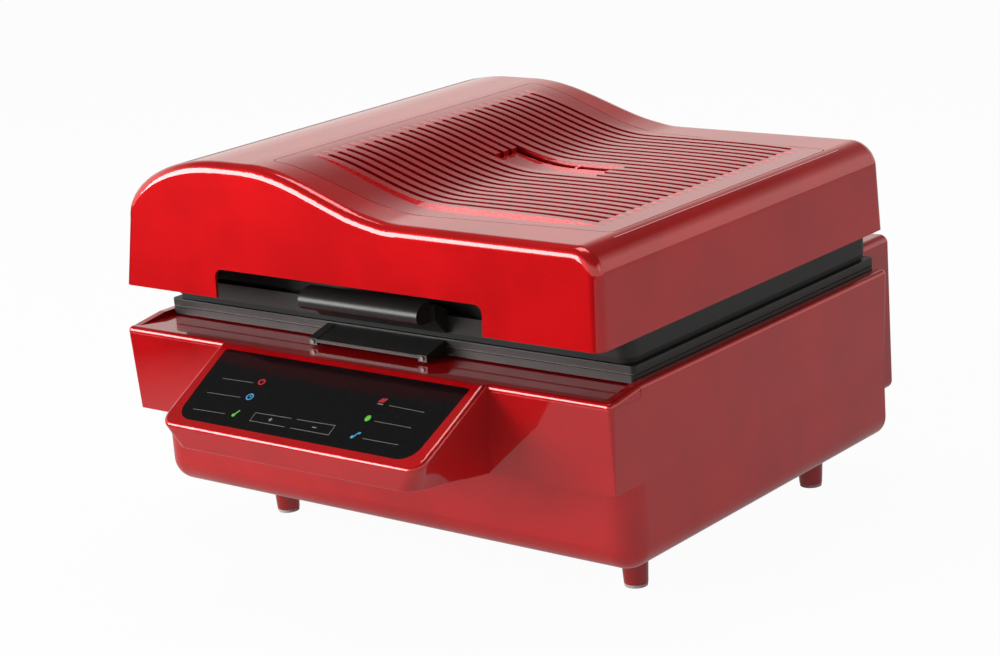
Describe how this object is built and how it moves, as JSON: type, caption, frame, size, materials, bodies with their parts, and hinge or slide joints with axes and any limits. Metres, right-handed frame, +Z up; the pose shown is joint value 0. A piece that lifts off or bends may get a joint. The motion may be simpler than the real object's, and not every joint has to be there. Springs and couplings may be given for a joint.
{
  "type": "vacuum sublimation machine",
  "caption": "Desktop vacuum heat-transfer machine: wave-topped hinged heater lid, hinged membrane frame, goods well, sloping control panel and feet.",
  "frame": {"origin": "middle of the footprint, on the floor under the foot pads", "axes": "+X to the machine's low, flat end of the lid (right as seen from the front), +Y to the hinges at the rear, +Z up"},
  "size_m": [0.5716, 0.5886, 0.379],
  "materials": {
    "red_shell": "gloss",
    "red_feet": "gloss",
    "grille_red": "satin",
    "black_frame": "satin",
    "black_steel": "satin",
    "dark_plastic": "satin",
    "panel_black": "gloss",
    "silicone": "satin",
    "black_rubber": "matte",
    "pad_rubber": "matte",
    "steel": "satin",
    "bright_steel": "polished",
    "reflector": "polished",
    "well_alloy": "satin",
    "quartz": "gloss",
    "ceramic": "matte",
    "circuit": "satin",
    "housing_red": "satin"
  },
  "bodies": {
    "base": {"base_upper_shell": "red_shell", "base_lower_shell": "red_shell", "base_screws": "bright_steel", "control_panel_glass": "panel_black", "display_module": "dark_plastic", "control_board": "circuit", "vacuum_well": "well_alloy", "vacuum_table": "steel", "table_gasket": "black_rubber", "vacuum_pump": "steel", "pump_mounts": "black_rubber", "vacuum_hose": "silicone", "solenoid_valve": "steel", "power_board": "circuit", "rear_housing": "housing_red", "rear_screws": "bright_steel", "fan_housing": "dark_plastic", "fan_guard": "bright_steel", "power_inlet": "dark_plastic", "fuse_holder": "dark_plastic", "power_switch_body": "dark_plastic", "feet": "red_feet", "foot_pads": "pad_rubber", "foot_screws": "bright_steel", "hinge_brackets": "black_steel", "hinge_pins": "bright_steel"},
    "membrane_frame": {"membrane_frame_lower": "black_frame", "membrane_frame_upper": "black_frame", "silicone_membrane": "silicone", "frame_screws": "bright_steel", "frame_handle": "dark_plastic", "frame_handle_arms": "dark_plastic", "frame_handle_screws": "bright_steel", "frame_hinge_leaves": "black_steel"},
    "lid": {"lid_shell": "red_shell", "grille_panel": "grille_red", "heater_tray": "black_steel", "heater_reflector": "reflector", "quartz_tubes": "quartz", "tube_holders": "ceramic", "guard_mesh": "steel", "temperature_probe": "bright_steel", "terminal_block": "ceramic", "lid_screws": "bright_steel", "lid_seal": "black_rubber", "lid_handle": "dark_plastic", "lid_handle_mount": "dark_plastic", "lid_hinge_leaves": "black_steel"},
    "fan": {"fan_rotor": "dark_plastic"},
    "switch_rocker": {"power_switch_rocker": "dark_plastic"}
  },
  "joints": [
    {"name": "frame_hinge", "type": "hinge", "parent": "base", "child": "membrane_frame", "pos_m": [0, 0.26325, 0.247], "axis": [-1, 0, 0], "range_deg": [0, 42]},
    {"name": "lid_hinge", "type": "hinge", "parent": "membrane_frame", "child": "lid", "pos_m": [0, 0.26325, 0.247], "axis": [-1, 0, 0], "range_deg": [0, 62]},
    {"name": "fan_spin", "type": "hinge", "parent": "base", "child": "fan", "pos_m": [0.12, 0.27475, 0.165], "axis": [0, 1, 0], "continuous": true},
    {"name": "switch_pivot", "type": "hinge", "parent": "base", "child": "switch_rocker", "pos_m": [-0.17, 0.28725, 0.165], "axis": [1, 0, 0], "range_deg": [-24, 0]}
  ]
}
